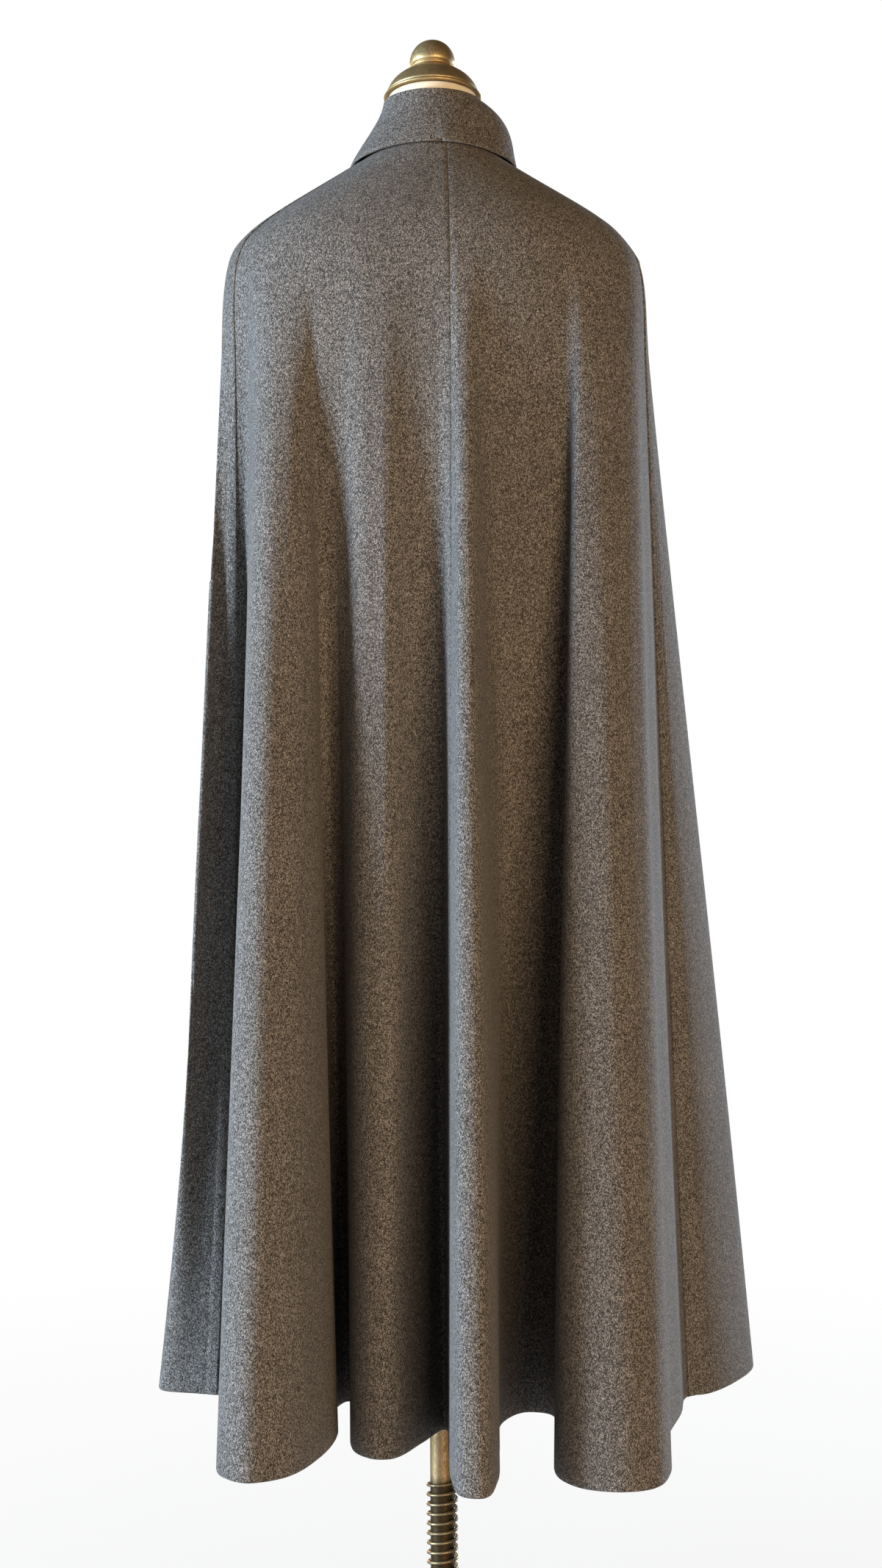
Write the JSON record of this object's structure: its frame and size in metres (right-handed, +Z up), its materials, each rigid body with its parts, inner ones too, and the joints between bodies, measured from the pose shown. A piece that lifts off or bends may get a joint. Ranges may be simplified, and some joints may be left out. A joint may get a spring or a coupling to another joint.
{
  "type": "wool cape coat on a limbless dress form with a stand",
  "caption": "Full-length wool cape coat with a turned-down collar and a lapped front, hanging in soft folds on a limbless dress form with a round stand",
  "frame": {"origin": "centre of the foot's underside, on the pole's axis", "axes": "+Z up; the cape's back faces -Y and its front opening +Y; +X is the wearer's right"},
  "size_m": [0.6245, 0.6736, 1.6368],
  "materials": {
    "wool": "brushed melton wool in heathered grey-brown, matt with a fine raised nap",
    "form_cover": "smooth cream cotton jersey over padding",
    "antique_brass": "antique brass, satin, darker in its grooves",
    "bronzed_steel": "bronzed steel tube, satin",
    "spring_steel": "bronzed spring wire, satin",
    "cast_iron": "dark cast iron, fine grain"
  },
  "bodies": {
    "root": {"back_left": "wool", "back_right": "wool", "front_left": "wool", "front_right": "wool", "collar": "wool", "form_torso": "form_cover", "neck_cap": "antique_brass", "finial": "antique_brass", "pole": "bronzed_steel", "spring": "spring_steel", "flange": "cast_iron", "hub": "cast_iron", "base": "cast_iron"}
  },
  "joints": []
}
